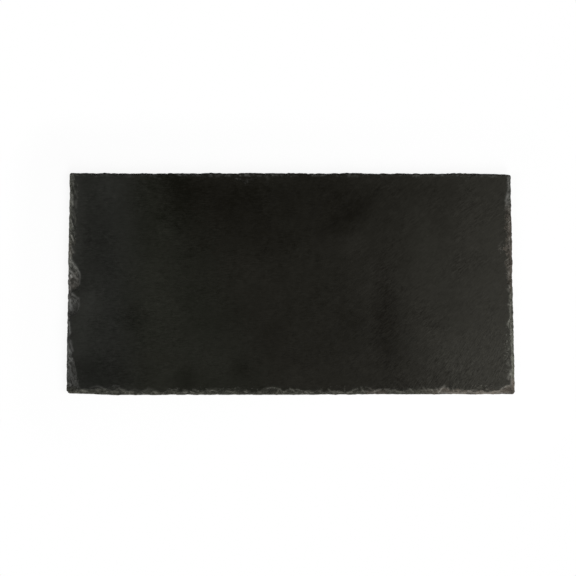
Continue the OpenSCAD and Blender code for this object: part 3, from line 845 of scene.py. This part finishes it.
# Where each point of the rings lies along the edge and in from it, for stone in strips that follow the edge.
# On the right they run inward, and on the left they slant.
right_stretch = 1.3
left_slope = 0.5
hair = 0.00001
run = np.concatenate([[0], np.cumsum(np.linalg.norm(np.diff(outer, axis=0), axis=1))])
run = np.tile(run, (ring_count, 1))
into = over_rings(to_arris)
on_right = outer[None, :, 0] > half_length - hair
on_left = outer[None, :, 0] < -half_length + hair
edge_place = np.zeros((len(points), 3))
edge_place[:ring_points, 0] = np.where(on_right, into * right_stretch, run).ravel()
edge_place[:ring_points, 1] = np.where(on_right, run, into - left_slope * run * on_left).ravel()
edge_place[:, 2] = points[:, 2]
along_edge = slab_mesh.attributes.new("edge_place", "FLOAT_VECTOR", "POINT")
along_edge.data.foreach_set("vector", edge_place.astype(np.float32).ravel())

sharp_from = math.radians(32)
slab_mesh.shade_smooth()
slab_mesh.set_sharp_from_angle(angle=sharp_from)
slate = bpy.data.objects.new("slate", slab_mesh)
bpy.context.scene.collection.objects.link(slate)


class Wire:
    """The output of a shader node. Arithmetic on wires and numbers adds Math nodes, so a mask is written as a
    formula, and node() adds any other kind."""

    def __init__(self, tree, socket):
        self.tree = tree
        self.socket = socket

    def node(self, kind, settings, sockets, output=0):
        """Adds a node, sets its settings, fills its sockets with values or wires, and returns an output."""
        new = self.tree.nodes.new(kind)
        for name, value in settings.items():
            setattr(new, name, value)
        for name, value in sockets.items():
            if isinstance(value, Wire):
                self.tree.links.new(value.socket, new.inputs[name])
            else:
                new.inputs[name].default_value = value
        return Wire(self.tree, new.outputs[output] if new.outputs else None)

    def beside(self, output):
        """Another output of the same node."""
        return Wire(self.tree, self.socket.node.outputs[output])

    def math(self, operation, *terms):
        return self.node("ShaderNodeMath", {"operation": operation}, dict(enumerate(terms)))

    def size(self):
        """The number without its sign."""
        return self.math("ABSOLUTE", self)

    def __add__(self, other):
        return self.math("ADD", self, other)

    __radd__ = __add__

    def __sub__(self, other):
        return self.math("SUBTRACT", self, other)

    def __rsub__(self, other):
        return self.math("SUBTRACT", other, self)

    def __mul__(self, other):
        return self.math("MULTIPLY", self, other)

    __rmul__ = __mul__

    def smooth(self, low, high):
        """0 below low, 1 above high and a smooth step between."""
        return self.node("ShaderNodeMapRange", {"interpolation_type": "SMOOTHSTEP"},
                         {"Value": self, "From Min": low, "From Max": high})

    def clamp(self):
        """The number held between 0 and 1."""
        return self.node("ShaderNodeClamp", {}, {"Value": self})

    def mix_colors(self, one, two):
        """This wire's share of colour two over colour one."""
        return self.node("ShaderNodeMix", {"data_type": "RGBA"}, {0: self, 6: one, 7: two}, output=2)


def new_material(name):
    """An empty material and the wire of its Object coordinates."""
    material = bpy.data.materials.new(name)
    material.use_nodes = True
    tree = material.node_tree
    tree.nodes.clear()
    place = Wire(tree, None).node("ShaderNodeTexCoord", {}, {}, output="Object")
    return material, place


def finish_material(place, shader):
    """Joins the shader to the material's surface."""
    place.node("ShaderNodeOutputMaterial", {}, {"Surface": shader})


def three_axes(place):
    """The three numbers of a place."""
    x = place.node("ShaderNodeSeparateXYZ", {}, {"Vector": place}, output="X")
    return x, x.beside("Y"), x.beside("Z")


def at_points(place, name, output="Fac"):
    """The number, or as Vector the place, that the mesh keeps at its points under this name."""
    return place.node("ShaderNodeAttribute", {"attribute_name": name}, {}, output)


def drawn_out(place, x, y, z):
    """The place with its axes divided by three lengths, so that a pattern there has lumps of that size."""
    return place.node("ShaderNodeVectorMath", {"operation": "MULTIPLY"}, {0: place, 1: (1 / x, 1 / y, 1 / z)})


def noise(place, scale, detail=2.0, roughness=0.5, distortion=0.0):
    """Noise from 0 to 1 of so many lumps a metre."""
    return place.node("ShaderNodeTexNoise", {}, {
        "Vector": place, "Scale": scale, "Detail": detail, "Roughness": roughness, "Distortion": distortion,
    })


def streaks(place, turn, long, across, detail=3.0, distortion=0.0):
    """Noise drawn out along a line turned by so many degrees, in lumps of the given length and width."""
    turned = place.node("ShaderNodeVectorRotate", {"rotation_type": "Z_AXIS"},
                        {"Vector": place, "Angle": math.radians(-turn)})
    return noise(drawn_out(turned, long, across, across), 1.0, detail, 0.55, distortion)


def face_patterns(place, along, depth_wise):
    """Ripples of the face, which lie level on the left, lean on the right and stand steep in the front right
    corner, their strength, and cloud, lumps, mottle and grain in falling size."""
    right = along.smooth(-0.02, 0.10)
    corner = (along - depth_wise * 1.6).smooth(0.17, 0.29)
    middle = along.smooth(-0.14, -0.06) * (1 - along.smooth(0.05, 0.12))
    level = streaks(place, 2, 0.0045, 0.0011, 2.5, 0.5)
    leaning = streaks(place, 38, 0.0055, 0.0013, 2.5, 1.0)
    steep = streaks(place, 57, 0.0044, 0.0010, 2.0, 0.6)
    patchy = noise(place, 38, 2, 0.5, 0.5).smooth(0.36, 0.62)
    strong = 0.34 + right * 0.06 + corner * 0.47 - middle * 0.11 + at_points(place, "ripples")
    return SimpleNamespace(
        right=right,
        level=level,
        ripple=level * (1 - right) + (leaning * (1 - corner) + steep * corner) * right,
        strong=strong * (0.60 + patchy * 0.66),
        cloud=noise(place, 22, 4, 0.6, 0.8),
        lumpy=noise(place, 120, 2, 0.5),
        mottle=noise(place, 230, 4, 0.65, 0.4),
        grain=noise(place, 1150, 2, 0.7),
    )


def oiled_color(place, along, depth_wise, face):
    """Colour of the oiled face: the tone of the oil, with its painted sheen towards the ends and painted
    shade along the back edge, plus the patterns gives how light it is, and it runs from cool at the left end
    over olive to warm."""
    light = at_points(place, "oil_and_painted_light") + 0.192 + (face.cloud - 0.5) * 0.18
    light = light + (face.ripple - 0.5) * face.strong * (1.25 + face.right * 0.3)
    light = light + (face.lumpy - 0.5) * (0.10 + face.right * 0.06)
    light = light + (face.mottle - 0.5) * (face.strong * (0.78 - face.right * 0.23) + 0.04)
    light = (light + (face.grain - 0.5) * (0.105 + face.strong * 0.55)).clamp()
    warm = light.mix_colors((0.0031, 0.0026, 0.0011, 1), (0.0355, 0.0343, 0.0279, 1))
    cool = light.mix_colors((0.0024, 0.0027, 0.0016, 1), (0.0345, 0.0352, 0.0312, 1))
    olive = light.mix_colors((0.0027, 0.0029, 0.0011, 1), (0.0347, 0.0354, 0.0280, 1))
    color = along.smooth(-0.165, -0.120).mix_colors(cool, olive)
    return (along + depth_wise * 0.44).smooth(-0.10, -0.03).mix_colors(color, warm)


def stone_patterns(place):
    """Patterns of broken stone: flat chips and beds, lumps, strips that follow the edge, and cracks where a
    noise is near its middle."""
    layered = drawn_out(place, 1, 1, 1 / 7)
    edge_spot = at_points(place, "edge_place", "Vector")
    crack_lines = noise(drawn_out(edge_spot, 0.0042, 0.0030, 0.0030), 1.0, 2, 0.55, 1.2) - 0.5
    return SimpleNamespace(
        chips=noise(layered, 420, 5, 0.66),
        beds=noise(layered, 150, 3, 0.6),
        lumps=noise(place, 260, 4, 0.62),
        strips=noise(drawn_out(edge_spot, 0.0036, 0.0008, 0.0007), 1.0, 3, 0.6, 0.4),
        cracks=(1 - crack_lines.size() * 22).clamp(),
    )


def crushed_and_highlight_amount(place, broken, face, stone):
    """How much of the stone is crushed, with the painted highlights: rims, partly painted highlight, and
    arrises where chips or strips are high, cracks, crumbs that cling to the face, and scars, partly painted
    highlights on steps."""
    lines = at_points(place, "rim_crush_and_highlight") * 0.7 + at_points(place, "arris_line") * 0.6
    lines = lines * (stone.strips * 2.6 - 0.9 + (stone.chips - 0.5) * 2.4).clamp()
    cracks = stone.cracks * (broken * 0.75).clamp() * (stone.chips * 2.4 - 0.8).clamp() * 0.6
    crumb = at_points(place, "crumbs")
    bits = (stone.chips * 0.7 + face.grain * 0.3 + crumb * 0.26 - 0.74).smooth(0.0, 0.09)
    scars = at_points(place, "scars") * (0.85 + (stone.chips - 0.5) * 1.8 + (stone.strips - 0.5) * 1.2)
    return (lines + cracks + bits * crumb.smooth(0.0, 0.15) * 0.20 + scars).clamp()


def broken_color(place, along, depth_wise, face, stone, broken, ragged, oiled):
    """Colour with the broken stone over the oiled face: plain stone, and bright where it is crushed and where
    highlights are painted. Both are more olive to the right and along the front, and rusty in places."""
    olive_side = along.smooth(-0.15, 0.05) * (1 - depth_wise.smooth(0.02, 0.06) * 0.65)
    olive_side = olive_side + (1 - along.smooth(-0.19, -0.16)) * depth_wise.smooth(0.0, 0.03) * 0.7
    at_front = 1 - depth_wise.smooth(-0.0955, -0.0900)
    rust = at_points(place, "rust").smooth(0.0, 0.5)
    plain = olive_side.mix_colors((0.100, 0.1017, 0.0945, 1), (0.100, 0.1028, 0.0810, 1))
    plain = at_front.mix_colors(plain, (0.1008, 0.1004, 0.0800, 1))
    plain = rust.mix_colors(plain, (0.118, 0.1005, 0.0815, 1))
    bright = olive_side.mix_colors((0.211, 0.210, 0.202, 1), (0.210, 0.209, 0.180, 1))
    bright = at_front.mix_colors(bright, (0.212, 0.208, 0.178, 1))
    bright = rust.mix_colors(bright, (0.218, 0.206, 0.182, 1))

    patchwork = (stone.chips - 0.5) * 1.3 + (stone.beds - 0.5) * 1.2
    patchwork = patchwork + (stone.lumps - 0.5) * 0.8 + (stone.strips - 0.5) * 2.2
    pale = (broken * 0.75 + patchwork * (broken * 1.3).clamp()).clamp()
    shade = (broken * 2.2).clamp().mix_colors(oiled, (0.0070, 0.0066, 0.0050, 1))
    color = ragged.mix_colors(oiled, pale.mix_colors(shade, plain))
    return crushed_and_highlight_amount(place, broken, face, stone).mix_colors(color, bright)


def dry_color(face):
    """Colour of the underside, which is paler because it was never oiled."""
    bare = (face.cloud - 0.5) * 1.6 + (face.mottle - 0.5) * 1.2 + (face.level - 0.5) * 0.8
    bare = (bare + (face.grain - 0.5) * 0.5 + 0.5).clamp()
    return bare.mix_colors((0.030, 0.030, 0.028, 1), (0.095, 0.095, 0.088, 1))


def slate_material():
    """Oiled split slate: a warm near-black face with soft cloud, ripples that lean as the stone split, and
    paler, rougher stone where flakes have come off, drawn out in thin layers."""
    material, place = new_material("slate")
    along, depth_wise, height = three_axes(place)
    face = face_patterns(place, along, depth_wise)
    stone = stone_patterns(place)
    broken = at_points(place, "broken")
    ragged = (broken * 5 + (stone.chips - 0.5) * 1.6).smooth(0.1, 1.1)
    under = 1 - height.smooth(slab_bottom + 0.0002, slab_bottom + 0.001)
    color = oiled_color(place, along, depth_wise, face)
    color = broken_color(place, along, depth_wise, face, stone, broken, ragged, color)
    color = (under * 0.9).mix_colors(color, dry_color(face))
    rough = 0.50 + (face.cloud - 0.5) * 0.12 + face.grain * 0.06 + ragged * 0.28 + under * 0.15
    relief = (face.ripple + face.mottle * 0.5) * face.strong * (1 - ragged) * 0.00009 + face.grain * 0.000005
    relief = relief + ragged * (stone.chips * 0.00026 + stone.lumps * 0.00024)
    normal = place.node("ShaderNodeBump", {}, {"Strength": 1.0, "Distance": 1.0, "Height": relief})
    shader = place.node("ShaderNodeBsdfPrincipled", {}, {
        "Base Color": color, "Roughness": rough, "Normal": normal, "Specular IOR Level": 0.09,
    })
    finish_material(place, shader)
    return material


slab_mesh.materials.append(slate_material())
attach(slate, "root")
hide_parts("slate_slab")

# Rubber feet
# Four feet moulded in black rubber with drafted sides, pressed on near the corners so that the slate neither
# slides nor scratches the table.


def rubber_material():
    """Matt black rubber with the fine grain of its mould and a little dust."""
    material, place = new_material("foot_rubber")
    grain = noise(place, 1800, 3, 0.6)
    dust = noise(place, 260, 4, 0.6).smooth(0.5, 0.78)
    color = (dust * 0.5).mix_colors((0.016, 0.016, 0.0165, 1), (0.045, 0.044, 0.042, 1))
    normal = place.node("ShaderNodeBump", {}, {"Strength": 0.6, "Distance": 1.0, "Height": grain * 0.00003})
    shader = place.node("ShaderNodeBsdfPrincipled", {}, {
        "Base Color": color, "Roughness": 0.55 + grain * 0.12 + dust * 0.15, "Normal": normal,
        "Specular IOR Level": 0.35,
    })
    finish_material(place, shader)
    return material


def coat_pieces(kind, material):
    """Gives the CAD pieces of a kind, one at each corner of the slate, their material."""
    for corner_name in ("front_left", "front_right", "back_left", "back_right"):
        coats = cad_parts[f"{kind}_{corner_name}"].data.materials
        coats.clear()
        coats.append(material)


coat_pieces("foot", rubber_material())

# Adhesive discs
# A disc of milky acrylic film on top of each foot, a little smaller than the foot, holds it to the slate.


def adhesive_material():
    """Milky acrylic film with fine trapped bubbles."""
    material, place = new_material("adhesive")
    bubbles = noise(place, 2600, 2, 0.5).smooth(0.55, 0.7)
    color = (bubbles * 0.6).mix_colors((0.52, 0.50, 0.44, 1), (0.70, 0.69, 0.64, 1))
    shader = place.node("ShaderNodeBsdfPrincipled", {}, {
        "Base Color": color, "Roughness": 0.35 + bubbles * 0.25,
    })
    finish_material(place, shader)
    return material


coat_pieces("adhesive", adhesive_material())

# Floor
# A plain pale floor that the board stands on, seen as white, with the board's soft shadow on it.

floor_size = 6.0
floor_gap = 0.0001
shadow_reach_squared = 0.004
white_beside_board = 0.88
lift_for_soft_light = 0.4
bpy.ops.mesh.primitive_plane_add(size=floor_size, location=(0, 0, -floor_gap))
floor = bpy.context.object
floor.name = "floor"


def floor_material():
    """A matt floor that the camera and reflections see as white, a little less so close to the board, where
    its shadow falls. Soft light meets it partly white, and from below it is clear."""
    material, place = new_material("floor")
    material.cycles.emission_sampling = "NONE"
    x, y, _ = three_axes(place)
    beside = x.math("MAXIMUM", x.size() - half_length, 0.0)
    before = y.math("MAXIMUM", y.size() - half_width, 0.0)
    away = (beside * beside + before * before).smooth(0.0, shadow_reach_squared)
    seen = place.node("ShaderNodeLightPath", {}, {}, output="Is Camera Ray")
    lifted = (seen + seen.beside("Is Glossy Ray") + seen.beside("Is Transmission Ray")).clamp()
    soft = seen.beside("Is Diffuse Ray") * (1 - lifted) * lift_for_soft_light
    white_share = lifted * (white_beside_board + away * (1 - white_beside_board)) + soft
    matte = place.node("ShaderNodeBsdfDiffuse", {}, {"Color": (0.86, 0.86, 0.86, 1)})
    white = place.node("ShaderNodeEmission", {}, {"Strength": 1.0})
    pale = place.node("ShaderNodeMixShader", {}, {"Fac": white_share, 1: matte, 2: white})
    underneath = place.node("ShaderNodeNewGeometry", {}, {}, output="Backfacing")
    clear = place.node("ShaderNodeBsdfTransparent", {}, {})
    finish_material(place, place.node("ShaderNodeMixShader", {}, {"Fac": underneath, 1: pale, 2: clear}))
    return material


floor.data.materials.append(floor_material())

# Light
# Large soft boxes in front and to the right, a weaker one on the left, and an even room.

room_strength = 0.14
world = bpy.data.worlds.new("room")
bpy.context.scene.world = world
world.use_nodes = True
world.node_tree.nodes.clear()
sky = Wire(world.node_tree, None)
camera_ray = sky.node("ShaderNodeLightPath", {}, {}, output="Is Camera Ray")
room = sky.node("ShaderNodeBackground", {}, {"Color": (1, 1, 1, 1), "Strength": room_strength})
backdrop = sky.node("ShaderNodeBackground", {}, {"Color": (1, 1, 1, 1), "Strength": 1.0})
both = sky.node("ShaderNodeMixShader", {}, {"Fac": camera_ray, 1: room, 2: backdrop})
sky.node("ShaderNodeOutputWorld", {}, {"Surface": both})


def soft_box(name, place, size, watts):
    """A square area light that faces the middle of the board."""
    data = bpy.data.lights.new(name, "AREA")
    data.shape = "SQUARE"
    data.size = size
    data.energy = watts
    light = bpy.data.objects.new(name, data)
    x, y, z = place
    light.location = place
    light.rotation_euler = (math.atan2(math.hypot(x, y), z), 0, math.atan2(x, -y))
    bpy.context.scene.collection.objects.link(light)


soft_box("front_box", (0.45, -1.5, 1.1), 1.0, 25)
soft_box("right_box", (1.25, -0.25, 1.1), 0.9, 20)
soft_box("left_box", (-1.4, -0.3, 1.0), 0.7, 10)

# Camera
# Nearly straight above, tipped a little to the front, as the photograph was taken.

elevation = math.radians(86.2)
lean = math.radians(-0.59)
roll = math.radians(0.085)
distance = 0.728
sensor = 36
lens = 50.9
aim = Vector((-0.0027, -0.0046, slab_top))
back = Vector((math.sin(lean), -math.cos(elevation) * math.cos(lean), math.sin(elevation) * math.cos(lean)))
level_right = Vector((0, 1, 0)).cross(back).normalized()
level_up = back.cross(level_right)
view_right = level_right * math.cos(roll) - level_up * math.sin(roll)
view_up = level_right * math.sin(roll) + level_up * math.cos(roll)
camera_data = bpy.data.cameras.new("camera")
camera_data.sensor_width = sensor
camera_data.lens = lens
camera = bpy.data.objects.new("camera", camera_data)
camera.rotation_euler = Matrix((view_right, view_up, back)).transposed().to_euler()
camera.location = aim + distance * back
bpy.context.scene.collection.objects.link(camera)
bpy.context.scene.camera = camera
bpy.context.scene.view_settings.view_transform = "Standard"
